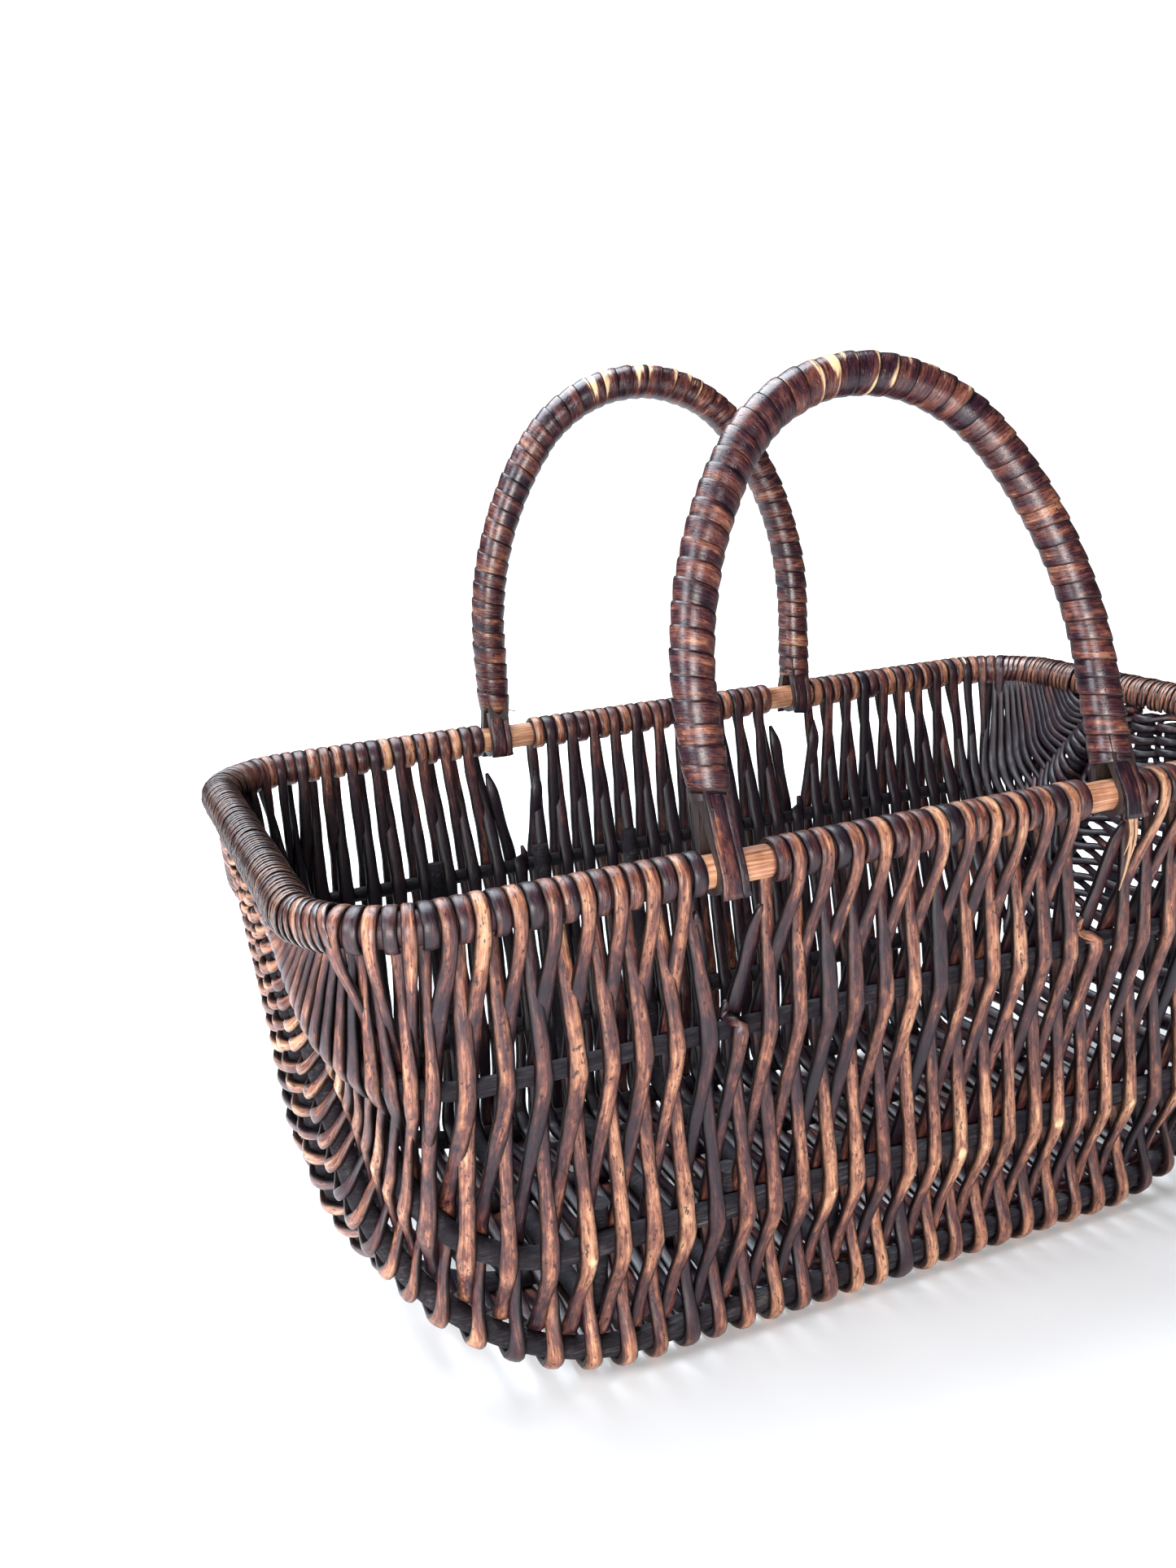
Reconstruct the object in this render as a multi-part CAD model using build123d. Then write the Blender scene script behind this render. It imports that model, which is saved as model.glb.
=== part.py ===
"""Wicker log basket: a boat-shaped willow frame basket with two swing handles.

Millimetres. +X runs along the basket, +Z is up, and the floor is z = 0 under its middle.
The weave, which is hundreds of thin rods, is made as closed panels of its true outer shape.
"""

import os
from math import acos, atan, cos, radians, sin, sqrt, tan

from build123d import *

# rim hoop: a rounded rectangle in one level plane
RIM_HALF_LENGTH = 280.0
RIM_HALF_WIDTH = 150.0
RIM_CORNER_RADIUS = 48.0
RIM_HEIGHT = 256.0
RIM_ROD_RADIUS = 7.3
BINDING_RADIUS = 10.3

# middle surface of the weave, which the ribs lie in
FLOOR_HEIGHT = 11.0
FLOOR_HALF_WIDTH = 112.0
END_LEAN = 20.0
END_CURVE_RADIUS = 100.0
WALL_HALF_THICKNESS = 8.0
FLOOR_OUTER_HALF = FLOOR_HEIGHT
INNER_HALF = 7.0
FLOOR_EDGE_RADIUS = 10.0
CORNER_GROWTH = 0.36
LARGEST_CORNER_RADIUS = 92.0
FLOOR_CORNER_RADIUS = 44.0
FLOOR_CORNER_GROWTH = 0.62
WEAVE_TOP = 243.5
HULL_LEVELS = (0, 1.5, 5, 11, 20, 34, 52, 76, 104, 140, 185, 250)

# joints between the weave panels
FLOOR_PANEL_TOP = 30.0
END_PANEL_START = 195.0
PANEL_GAP = 0.4

# ribs: wall and end places are (distance from the middle, height)
RIB_END_HEIGHT = 250.0
RIB_END_CUT = 12.0
RIB_CLEARANCE = 0.15
UPPER_RIB = {"wall": (137.5, 176), "end": 60, "lean": 10, "bend": 60, "radius": 4.25}
LOWER_RIB = {"wall": (121.5, 76), "end": 40, "lean": 46, "bend": 75, "radius": 5.5}
EDGE_RIB = {"wall": (112, 12), "end": 25, "lean": 30, "bend": 128, "radius": 5.5}
FLOOR_RIB = {"wall": (38, 11), "end": 9, "lean": 20, "bend": 100, "radius": 5.0}

# stakes: U-shaped rods laid across the inside of the ribs
STAKE_RADIUS = 5.0
STAKE_GAP = 0.6
STAKE_BEND_RADIUS = 22.0
STAKE_X = {"left": -158.0, "middle_left": -90.0, "middle": -30.0}
STAKE_FRONT_TOP = 92.0
STAKE_BACK_TOP = 190.0

# handles
FOOT_SPACING = 106.0
HANDLE_HEIGHT = 208.0
HANDLE_LEG_HEIGHT = 60.0
HANDLE_SIDE_RADIUS = 190.0
HANDLE_ROD_RADIUS = 8.3
WRAPPING_RADIUS = 10.4
LOOP_CLEARANCE = 0.3
LOOP_THICKNESS = 3.0
LOOP_WIDTH = 12.0
LOOP_HEIGHT = 42.0
LOOP_TOP_HALF = 6.4
LOOP_SLOT_HEIGHT = 27.0
ROD_START = 30.0
WRAPPING_START = 24.0
FRONT_HANDLE_LEAN = 16.0

# the rim is bare beside each foot, and the weave stands back below it
BARE_OUTSIDE = 10.5
BARE_INSIDE = 22.0
NOTCH_BOTTOM = 232.0
BORE_CLEARANCE = 0.02


def export(solid, name):
    """Write one named piece."""
    os.makedirs("parts", exist_ok=True)
    export_step(solid, f"parts/{name}.step")


# ---- the hull that the weave fills -------------------------------------------------------


def end_reach(height, offset):
    """Half the hull's length at a height, on a surface offset outwards from the middle one."""
    slope = END_LEAN / (RIB_END_HEIGHT - FLOOR_HEIGHT)
    turn = radians(90) - atan(slope)
    tangent = END_CURVE_RADIUS * tan(turn / 2)
    centre_x = RIM_HALF_LENGTH - END_LEAN - tangent
    centre_z = FLOOR_HEIGHT + END_CURVE_RADIUS
    radius = END_CURVE_RADIUS + offset
    drop = centre_z - height
    if drop > 0:
        return centre_x + sqrt(max(radius**2 - drop**2, 0))
    return centre_x + radius - slope * drop


def side_reach(height, offset):
    """Half the hull's width at a height."""
    slope = (RIM_HALF_WIDTH - FLOOR_HALF_WIDTH) / (RIM_HEIGHT - FLOOR_HEIGHT)
    return FLOOR_HALF_WIDTH + slope * (height - FLOOR_HEIGHT) + offset


def hull_section(height, end_offset, side_offset, bottom):
    """One level section of the hull, a rounded rectangle."""
    half_length = end_reach(height, end_offset)
    half_width = side_reach(height, side_offset)
    rise = height - bottom
    if rise < FLOOR_EDGE_RADIUS:
        drop = FLOOR_EDGE_RADIUS - rise
        half_width -= FLOOR_EDGE_RADIUS - sqrt(FLOOR_EDGE_RADIUS**2 - drop**2)
    upper_corner = RIM_CORNER_RADIUS + CORNER_GROWTH * (RIM_HEIGHT - height)
    lower_corner = FLOOR_CORNER_RADIUS + FLOOR_CORNER_GROWTH * height
    corner = min(upper_corner, lower_corner, LARGEST_CORNER_RADIUS)
    outline = RectangleRounded(2 * half_length, 2 * half_width, corner)
    return Plane.XY.offset(height) * outline


def hull_solid(end_offset, side_offset, bottom):
    """The hull's volume from its lowest plane to above the rim."""
    levels = [z for z in HULL_LEVELS if z > bottom]
    heights = [bottom] + levels
    sections = [hull_section(z, end_offset, side_offset, bottom) for z in heights]
    return loft(sections, ruled=True)


# ---- rods ---------------------------------------------------------------------------------


def round_rod(path, radius):
    """A round rod swept along a path."""
    section = Plane(origin=path @ 0, z_dir=path % 0) * Circle(radius)
    return sweep(section, path=path)


def rib_path(rib, side):
    """A rib's centre line, in a sloping plane that holds the X direction."""
    wall_y, wall_z = rib["wall"]
    across = Vector(0, side * (wall_y - rib["end"]), wall_z - RIB_END_HEIGHT)
    depth = across.length
    away = across.normalized()
    pole = Vector(0, side * rib["end"], RIB_END_HEIGHT)

    def place(x, down):
        return pole + away * down + Vector(x, 0, 0)

    cut_x = RIM_HALF_LENGTH - rib["lean"] * RIB_END_CUT / depth
    far_x = RIM_HALF_LENGTH - rib["lean"]
    corners = [
        place(-cut_x, RIB_END_CUT),
        place(-far_x, depth),
        place(far_x, depth),
        place(cut_x, RIB_END_CUT),
    ]
    return FilletPolyline(*corners, radius=rib["bend"])


def rib_solid(rib, side, extra=0.0):
    return round_rod(rib_path(rib, side), rib["radius"] + extra)


def stake_path(x):
    """A stake's centre line: down the back wall, across the floor and up the front wall."""
    inset = LOWER_RIB["radius"] + STAKE_RADIUS + STAKE_GAP
    floor_z = FLOOR_HEIGHT + inset
    front_top = Vector(x, -side_reach(STAKE_FRONT_TOP, -inset), STAKE_FRONT_TOP)
    front_low = Vector(x, -side_reach(floor_z, -inset), floor_z)
    back_low = Vector(x, side_reach(floor_z, -inset), floor_z)
    back_top = Vector(x, side_reach(STAKE_BACK_TOP, -inset), STAKE_BACK_TOP)
    return FilletPolyline(front_top, front_low, back_low, back_top, radius=STAKE_BEND_RADIUS)


def stake_solid(x, extra=0.0):
    return round_rod(stake_path(x), STAKE_RADIUS + extra)


# ---- rim ----------------------------------------------------------------------------------


def rim_path():
    """The rim's centre line, starting in the middle of the front."""
    straight_x = RIM_HALF_LENGTH - RIM_CORNER_RADIUS
    outline = [
        Line((0, -RIM_HALF_WIDTH), (straight_x, -RIM_HALF_WIDTH)),
        end_path(1),
        Line((straight_x, RIM_HALF_WIDTH), (-straight_x, RIM_HALF_WIDTH)),
        mirror(end_path(1), Plane.YZ),
        Line((-straight_x, -RIM_HALF_WIDTH), (0, -RIM_HALF_WIDTH)),
    ]
    edges = [edge for piece in outline for edge in piece.edges()]
    return Pos(0, 0, RIM_HEIGHT) * Wire(edges)


def end_path(side):
    """One end of the rim with both its corners, at height zero."""
    x_far = side * RIM_HALF_LENGTH
    x_near = side * (RIM_HALF_LENGTH - RIM_CORNER_RADIUS)
    return FilletPolyline(
        (x_near, -RIM_HALF_WIDTH),
        (x_far, -RIM_HALF_WIDTH),
        (x_far, RIM_HALF_WIDTH),
        (x_near, RIM_HALF_WIDTH),
        radius=RIM_CORNER_RADIUS - 0.01,
    )


def straight_binding(x_from, x_to, side):
    """A bound stretch of a long side of the rim."""
    start = Plane(origin=(x_from, side * RIM_HALF_WIDTH, RIM_HEIGHT), z_dir=(1, 0, 0))
    ring = Circle(BINDING_RADIUS) - Circle(RIM_ROD_RADIUS + BORE_CLEARANCE)
    return extrude(start * ring, x_to - x_from)


def end_binding(side):
    """The bound end of the rim, round both corners."""
    path = Pos(0, 0, RIM_HEIGHT) * end_path(side)
    start = Plane(origin=path @ 0, z_dir=path % 0)
    ring = Circle(BINDING_RADIUS) - Circle(RIM_ROD_RADIUS + BORE_CLEARANCE)
    return sweep(start * ring, path=path)


# ---- handles ------------------------------------------------------------------------------


def handle_path(start):
    """A handle's centre line in the XZ plane, from a height above the rim's centre line."""
    side_x = FOOT_SPACING - HANDLE_SIDE_RADIUS
    rise = HANDLE_HEIGHT - HANDLE_LEG_HEIGHT
    # the top arc touches both side arcs: its radius follows from their centres
    top_radius = (HANDLE_SIDE_RADIUS**2 - side_x**2 - rise**2) / (2 * (HANDLE_SIDE_RADIUS - rise))
    top_z = HANDLE_HEIGHT - top_radius
    to_top = Vector(-side_x, 0, top_z - HANDLE_LEG_HEIGHT).normalized()
    centre = Vector(side_x, 0, HANDLE_LEG_HEIGHT)
    joint = centre + to_top * HANDLE_SIDE_RADIUS
    middle_angle = acos(to_top.X) / 2
    middle = centre + Vector(cos(middle_angle), 0, sin(middle_angle)) * HANDLE_SIDE_RADIUS

    def flip(point):
        return Vector(-point.X, 0, point.Z)

    foot = Vector(FOOT_SPACING, 0, start)
    knee = Vector(FOOT_SPACING, 0, HANDLE_LEG_HEIGHT)
    top = Vector(0, 0, HANDLE_HEIGHT)
    pieces = [
        Edge.make_line(flip(foot), flip(knee)),
        Edge.make_three_point_arc(flip(knee), flip(middle), flip(joint)),
        Edge.make_three_point_arc(flip(joint), top, joint),
        Edge.make_three_point_arc(joint, middle, knee),
        Edge.make_line(knee, foot),
    ]
    return Wire(pieces)


def foot_loop(x):
    """A thinned rod end folded round the rim rod: a slotted, tapering loop."""
    bore = RIM_ROD_RADIUS + LOOP_CLEARANCE
    outer = bore + LOOP_THICKNESS
    side = Plane(origin=(x - LOOP_WIDTH / 2, 0, 0), x_dir=(0, 1, 0), z_dir=(1, 0, 0))
    legs = Polygon(
        (-outer + 0.4, 2.5),
        (outer - 0.4, 2.5),
        (LOOP_TOP_HALF, LOOP_HEIGHT),
        (-LOOP_TOP_HALF, LOOP_HEIGHT),
        align=None,
    )
    slot = Polygon((-bore + 0.3, 2), (bore - 0.3, 2), (0, LOOP_SLOT_HEIGHT), align=None)
    outline = (Circle(outer) + legs) - Circle(bore) - slot
    return extrude(side * outline, LOOP_WIDTH)


def handle_rod():
    """The bent rod with both its folded ends, upright over the X axis."""
    rod = round_rod(handle_path(ROD_START), HANDLE_ROD_RADIUS)
    return rod + foot_loop(FOOT_SPACING) + foot_loop(-FOOT_SPACING)


def handle_wrapping(rod):
    """The skein wrapping, which grips the rod and the tops of its loops."""
    return round_rod(handle_path(WRAPPING_START), WRAPPING_RADIUS) - rod


def place_handle(piece, side, lean):
    """Stand a handle on its long side of the rim, leaning inwards by an angle in degrees."""
    upright = Rot(side * lean, 0, 0) * piece
    return Pos(0, side * RIM_HALF_WIDTH, RIM_HEIGHT) * upright


# ---- weave --------------------------------------------------------------------------------


def foot_notches():
    """Room below the bare rim for the loops to swing."""
    width = BARE_OUTSIDE + BARE_INSIDE
    middle = FOOT_SPACING + (BARE_OUTSIDE - BARE_INSIDE) / 2
    height = RIM_HEIGHT - NOTCH_BOTTOM
    notch = Box(width, 60, height, align=(Align.CENTER, Align.CENTER, Align.MIN))
    spots = [(x, y) for x in (-middle, middle) for y in (-RIM_HALF_WIDTH, RIM_HALF_WIDTH)]
    return [Pos(x, y, NOTCH_BOTTOM) * notch for x, y in spots]


def slab(x_range, y_range, z_range):
    """A box between two corners."""
    size = [high - low for low, high in (x_range, y_range, z_range)]
    low = [pair[0] for pair in (x_range, y_range, z_range)]
    return Pos(*low) * Box(*size, align=(Align.MIN, Align.MIN, Align.MIN))


def weave_panels(channels):
    """The weave's five panels, with channels where ribs and stakes run through it."""
    outer = hull_solid(FLOOR_OUTER_HALF, WALL_HALF_THICKNESS, 0.0)
    inner = hull_solid(-INNER_HALF, -WALL_HALF_THICKNESS, FLOOR_HEIGHT + INNER_HALF)
    shell = outer - inner
    far = 400.0
    low_z = (-1.0, FLOOR_PANEL_TOP)
    high_z = (FLOOR_PANEL_TOP + PANEL_GAP, WEAVE_TOP)
    wall_x = (-END_PANEL_START, END_PANEL_START)
    end_x = (END_PANEL_START + PANEL_GAP, far)
    regions = {
        "floor_weave": slab((-far, far), (-far, far), low_z),
        "front_wall_weave": slab(wall_x, (-far, 0), high_z),
        "back_wall_weave": slab(wall_x, (0, far), high_z),
        "right_end_weave": slab(end_x, (-far, far), high_z),
        "left_end_weave": slab((-end_x[1], -end_x[0]), (-far, far), high_z),
    }
    panels = {}
    for name, region in regions.items():
        panel = shell & region
        for channel in channels:
            panel = panel - channel
        panels[name] = panel
    return panels


# ---- the basket ---------------------------------------------------------------------------


def main():
    rim_section = Plane(origin=(0, -RIM_HALF_WIDTH, RIM_HEIGHT), z_dir=(1, 0, 0))
    export(sweep(rim_section * Circle(RIM_ROD_RADIUS), path=rim_path()), "rim_hoop")

    foot_out = FOOT_SPACING + BARE_OUTSIDE
    foot_in = FOOT_SPACING - BARE_INSIDE
    corner = RIM_HALF_LENGTH - RIM_CORNER_RADIUS
    for side, wall in ((-1, "front"), (1, "back")):
        export(straight_binding(-corner, -foot_out, side), f"{wall}_left_binding")
        export(straight_binding(-foot_in, foot_in, side), f"{wall}_middle_binding")
        export(straight_binding(foot_out, corner, side), f"{wall}_right_binding")
    export(end_binding(-1), "left_end_binding")
    export(end_binding(1), "right_end_binding")

    channels = foot_notches()
    ribs = {
        "upper_rib": UPPER_RIB,
        "lower_rib": LOWER_RIB,
        "edge_rib": EDGE_RIB,
        "floor_rib": FLOOR_RIB,
    }
    for side, wall in ((-1, "front"), (1, "back")):
        for name, rib in ribs.items():
            export(rib_solid(rib, side), f"{wall}_{name}")
            channels.append(rib_solid(rib, side, RIB_CLEARANCE))

    for name, x in STAKE_X.items():
        export(stake_solid(x), f"{name}_stake")
        channels.append(stake_solid(x, RIB_CLEARANCE))

    for name, panel in weave_panels(channels).items():
        export(panel, name)

    rod = handle_rod()
    wrapping = handle_wrapping(rod)
    for side, wall, lean in ((-1, "front", FRONT_HANDLE_LEAN), (1, "back", 0.0)):
        export(place_handle(rod, side, lean), f"{wall}_handle_rod")
        export(place_handle(wrapping, side, lean), f"{wall}_handle_wrapping")


main()
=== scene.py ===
import math
import random
from collections import namedtuple

import bpy
import numpy as np
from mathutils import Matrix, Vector


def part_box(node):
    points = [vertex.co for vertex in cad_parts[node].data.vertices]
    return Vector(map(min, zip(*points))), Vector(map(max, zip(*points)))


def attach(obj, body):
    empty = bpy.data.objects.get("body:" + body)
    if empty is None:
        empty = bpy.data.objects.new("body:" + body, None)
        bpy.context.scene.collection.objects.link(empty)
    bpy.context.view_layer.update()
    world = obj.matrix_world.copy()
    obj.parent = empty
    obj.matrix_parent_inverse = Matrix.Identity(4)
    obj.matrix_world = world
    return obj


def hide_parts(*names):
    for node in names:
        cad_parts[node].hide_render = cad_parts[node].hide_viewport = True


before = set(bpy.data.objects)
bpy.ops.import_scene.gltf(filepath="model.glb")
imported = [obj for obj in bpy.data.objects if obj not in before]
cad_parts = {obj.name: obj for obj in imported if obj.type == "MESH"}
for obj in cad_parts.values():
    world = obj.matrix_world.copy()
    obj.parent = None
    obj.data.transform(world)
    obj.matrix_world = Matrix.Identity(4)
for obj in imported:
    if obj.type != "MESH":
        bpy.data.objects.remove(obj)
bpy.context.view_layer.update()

MM = 0.001
TAU = 2 * math.pi
rng = random.Random(7)

# ---- driving dimensions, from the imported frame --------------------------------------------

rim_low, rim_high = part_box("rim_hoop")
RIM_ROD = (rim_high.z - rim_low.z) / 2
RIM_Z = (rim_high.z + rim_low.z) / 2
RIM_X = rim_high.x - RIM_ROD
RIM_Y = rim_high.y - RIM_ROD
RIM_CORNER = 48 * MM
BARE_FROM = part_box("front_middle_binding")[1].x
BARE_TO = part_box("front_right_binding")[0].x
RIB_END_Z = RIM_Z - 6 * MM

# each rib: name, rod radius, y of its ends, lean of its ends, bend radius, growth of the spacing
RIBS = [
    ("upper_rib", 4.25 * MM, 60 * MM, 10 * MM, 60 * MM, 0.02),
    ("lower_rib", 5.5 * MM, 40 * MM, 46 * MM, 75 * MM, 0.08),
    ("edge_rib", 5.5 * MM, 25 * MM, 30 * MM, 128 * MM, 0.10),
    ("floor_rib", 5.0 * MM, 9 * MM, 20 * MM, 100 * MM, 0.11),
]
# how far a rod is pushed along each rib towards +X, where it runs outside the rib and where inside
SIDEWAYS = {
    "upper_rib": (2.2 * MM, -3.4 * MM),
    "lower_rib": (2.8 * MM, -2.6 * MM),
    "edge_rib": (-1.2 * MM, -4.6 * MM),
    "floor_rib": (2.0 * MM, -2.0 * MM),
}

# rods on each half of a long side: all that wrap the rim, those of them between the middle and the foot,
# and the fillers under the foot; then the rods round an end, the first few of which still wrap the rim
WRAPPED_RODS = 27
INNER_RODS = 11
FILLERS = 3
WALL_RODS = WRAPPED_RODS + FILLERS
END_RODS = 38
CORNER_WRAPS = 6
END_CROWDING = 0.35
CORNER_PITCH = 6.7 * MM

# a rod's gauge: its full width at a knee, and the pinched width between two ribs
ROD_PITCH = 7.4 * MM
ROD_WIDTH = 9.2 * MM
ROD_THICKNESS = 4.6 * MM
PINCH_WIDTH = 7.2 * MM
LEAST_PINCH = 4.5 * MM
KNEE_LENGTH = 4.2 * MM
SWEEP_STEP = 3.4 * MM
WOBBLE_LENGTH = 38 * MM
RESTING_Z = 0.1 * MM

# the band that a rod makes round the rim; angles in degrees, 0 on the leg's side and 90 on top
BAND_WIDTH = 7.0 * MM
BAND_THICKNESS = 2.7 * MM
BAND_FROM = 245
BAND_STEP = 18.2
BAND_ROWS = 15

# the close turns round each end of the rim; angles in degrees, 0 outwards and 90 on top
END_TURN_PITCH = 3.6 * MM
END_TURN_WIDTH = 5.3 * MM
END_TURN_THICKNESS = 1.7 * MM
END_TURN_FROM = -75
END_TURN_SWEEP = 330
END_TURN_STEPS = 18

UP = np.array([0.0, 0.0, 1.0])


# ---- curves -------------------------------------------------------------------------------


def rounded_line(corners, radius, steps=24):
    """A line through corners, with each inner corner rounded by an arc."""
    points = [corners[0]]
    for before, corner, after in zip(corners, corners[1:], corners[2:]):
        back = (before - corner).normalized()
        ahead = (after - corner).normalized()
        half = back.angle(ahead) / 2
        reach = radius / math.tan(half)
        centre = corner + (back + ahead).normalized() * radius / math.sin(half)
        first = corner + back * reach - centre
        last = corner + ahead * reach - centre
        arms = [first.lerp(last, step / steps).normalized() for step in range(steps + 1)]
        points += [centre + arm * radius for arm in arms]
    points.append(corners[-1])
    return points


class Track:
    """A line that is read by the distance from its middle."""

    def __init__(self, points):
        self.points = np.array([tuple(point) for point in points])
        steps = np.linalg.norm(np.diff(self.points, axis=0), axis=1)
        self.at = np.concatenate([[0.0], np.cumsum(steps)])
        self.half = self.at[-1] / 2

    def point(self, distance):
        return np.array([np.interp(distance + self.half, self.at, self.points[:, i]) for i in range(3)])

    def tangent(self, distance, reach=1.5 * MM):
        step = self.point(distance + reach) - self.point(distance - reach)
        return step / np.linalg.norm(step)


def rim_track(side):
    """The rim's centre line along one long side, from the middle of one end to the other's."""
    corners = [(-RIM_X, 0), (-RIM_X, side * RIM_Y), (RIM_X, side * RIM_Y), (RIM_X, 0)]
    return Track(rounded_line([Vector((x, y, RIM_Z)) for x, y in corners], RIM_CORNER))


def rib_track(name, wall, side, radius, end_y, lean, bend):
    """A rib's centre line: flat along the wall, bent up at both ends in a tilted plane."""
    low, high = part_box(f"{wall}_{name}")
    wall_y = (high.y if side > 0 else -low.y) - radius
    wall_z = low.z + radius
    drop = math.hypot(wall_y - end_y, RIB_END_Z - wall_z)
    corners = [(-RIM_X, 0), (lean - RIM_X, drop), (RIM_X - lean, drop), (RIM_X, 0)]
    flat = rounded_line([Vector((x, down, 0)) for x, down in corners], bend)
    points = []
    for point in flat:
        share = point.y / drop
        y = side * (end_y + (wall_y - end_y) * share)
        z = RIB_END_Z + (wall_z - RIB_END_Z) * share
        points.append((point.x, y, z))
    return Track(points)


Crossed = namedtuple("Crossed", "name radius track growth")


def all_crossed():
    """What a weaving rod crosses on its way from the front rim to the back rim."""
    front = [Crossed("rim", RIM_ROD, rim_track(-1), 0.0)]
    back = [Crossed("rim", RIM_ROD, rim_track(1), 0.0)]
    for name, radius, end_y, lean, bend, growth in RIBS:
        for made, wall, side in ((front, "front", -1), (back, "back", 1)):
            track = rib_track(name, wall, side, radius, end_y, lean, bend)
            made.append(Crossed(name, radius, track, growth))
    return front + back[::-1]


CROSSED = all_crossed()


def unit(vector):
    return vector / max(np.linalg.norm(vector), 1e-12)


def smooth(rows, step):
    """A smooth curve through rows whose first three values are a place, and all values follow it."""
    rows = np.array(rows)
    gaps = np.linalg.norm(np.diff(rows[:, :3], axis=0), axis=1)
    slopes = np.diff(rows, axis=0) / gaps[:, None]
    inner = (slopes[:-1] * gaps[1:, None] + slopes[1:] * gaps[:-1, None]) / (gaps[:-1] + gaps[1:])[:, None]
    ends = np.vstack([slopes[:1], inner, slopes[-1:]])
    made = []
    for i, gap in enumerate(gaps):
        count = max(1, round(gap / step))
        t = np.arange(count)[:, None] / count
        made.append(
            (2 * t**3 - 3 * t**2 + 1) * rows[i]
            + (t**3 - 2 * t**2 + t) * gap * ends[i]
            + (3 * t**2 - 2 * t**3) * rows[i + 1]
            + (t**3 - t**2) * gap * ends[i + 1]
        )
    return np.vstack(made + [rows[-1:]])


# ---- meshes -------------------------------------------------------------------------------

FLAT_ROUND = 2.5
RING = 12


def ring_profile(count=RING, power=FLAT_ROUND):
    """A rounded, slightly flattened outline: across and out, each from -1 to 1."""
    angles = (np.arange(count) + 0.5) / count * TAU
    across = np.sign(np.cos(angles)) * np.abs(np.cos(angles)) ** (2 / power)
    out = np.sign(np.sin(angles)) * np.abs(np.sin(angles)) ** (2 / power)
    return across, out


class Bundle:
    """Many rods or bands gathered into one mesh, with what their material reads at each point."""

    def __init__(self):
        self.points = []
        self.faces = []
        self.values = {"grain": [], "tone": [], "face": [], "wear": [], "stain_and_shade": [], "inner": []}
        self.count = 0

    def add(self, centre, normal, width, thickness, wear, stain_and_shade, tone, profile):
        """A rod along centre, whose flat side faces normal."""
        along = np.gradient(centre, axis=0)
        along /= np.linalg.norm(along, axis=1)[:, None]
        side = np.cross(along, normal)
        side /= np.linalg.norm(side, axis=1)[:, None]
        out = np.cross(side, along)
        across, up = profile
        ring = (
            centre[:, None, :]
            + side[:, None, :] * (width[:, None] / 2 * across[None, :])[:, :, None]
            + out[:, None, :] * (thickness[:, None] / 2 * up[None, :])[:, :, None]
        )
        ring[:, :, 2] = np.maximum(ring[:, :, 2], RESTING_Z)
        distance = np.concatenate([[0], np.cumsum(np.linalg.norm(np.diff(centre, axis=0), axis=1))])
        rows, count = ring.shape[:2]
        grain = np.zeros((rows, count, 3))
        grain[:, :, 0] = distance[:, None] + rng.uniform(0, 50)
        grain[:, :, 1] = across[None, :] * 3 * MM + rng.uniform(0, 5)
        grain[:, :, 2] = up[None, :] * 3 * MM
        self.add_rings(
            ring,
            grain,
            {
                "tone": np.full((rows, count), tone),
                # face: 1 on a rod's broad sides, 0 at its flanks; the material darkens the flanks with
                # painted shade
                "face": np.repeat(np.abs(up)[None, :], rows, axis=0),
                "wear": wear[:, None] * np.abs(up)[None, :],
                # the stain value mixes real stain with painted shade; the material darkens the colour by it
                "stain_and_shade": np.repeat(stain_and_shade[:, None], count, axis=1),
                # inner: painted shade, strongest on a rod's inward face and half as strong at its flanks
                "inner": np.repeat(np.clip(0.5 - up, 0, 1)[None, :], rows, axis=0),
            },
        )

    def add_line(self, line, tone, profile):
        """A rod along a smoothed line of rows: place, normal, width, thickness, wear, and stain mixed with
        painted shade.
        """
        centre = line[:, :3]
        normal = line[:, 3:6]
        width, thickness, wear, stain_and_shade = line[:, 6:10].T
        self.add(centre, normal, width, thickness, wear, stain_and_shade, tone, profile)

    def add_rings(self, ring, grain, values):
        """Rings of points joined into a closed tube."""
        rows, count = ring.shape[:2]
        first = self.count
        self.points.append(ring.reshape(-1, 3))
        self.values["grain"].append(grain.reshape(-1, 3))
        for name, value in values.items():
            self.values[name].append(value.reshape(-1))
        for row in range(rows - 1):
            a = first + row * count
            for i in range(count):
                j = (i + 1) % count
                self.faces.append((a + i, a + j, a + count + j, a + count + i))
        self.faces.append(tuple(first + i for i in reversed(range(count))))
        last = first + (rows - 1) * count
        self.faces.append(tuple(last + i for i in range(count)))
        self.count += rows * count

    def build(self, name, material, body, slot, *replaced):
        """The finished object, riding on a CAD body."""
        mesh = bpy.data.meshes.new(name)
        mesh.from_pydata(np.vstack(self.points).tolist(), [], self.faces)
        for key, parts in self.values.items():
            kind = "FLOAT_VECTOR" if key == "grain" else "FLOAT"
            attribute = mesh.attributes.new(key, kind, "POINT")
            data = np.concatenate(parts).astype(np.float32)
            attribute.data.foreach_set("vector" if key == "grain" else "value", data.ravel())
        mesh.polygons.foreach_set("use_smooth", [True] * len(mesh.polygons))
        mesh.materials.append(material)
        made = bpy.data.objects.new(name, mesh)
        bpy.context.collection.objects.link(made)
        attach(made, body)
        if replaced:
            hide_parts(*replaced)
        return made


# ---- materials ----------------------------------------------------------------------------


def node(tree, kind, inputs=None, **settings):
    """A new node: its inputs are values or other nodes' outputs."""
    made = tree.nodes.new(kind)
    for name, value in settings.items():
        setattr(made, name, value)
    for name, value in (inputs or {}).items():
        socket = made.inputs[name]
        if isinstance(value, bpy.types.NodeSocket):
            tree.links.new(value, socket)
        else:
            socket.default_value = value
    return made


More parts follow.
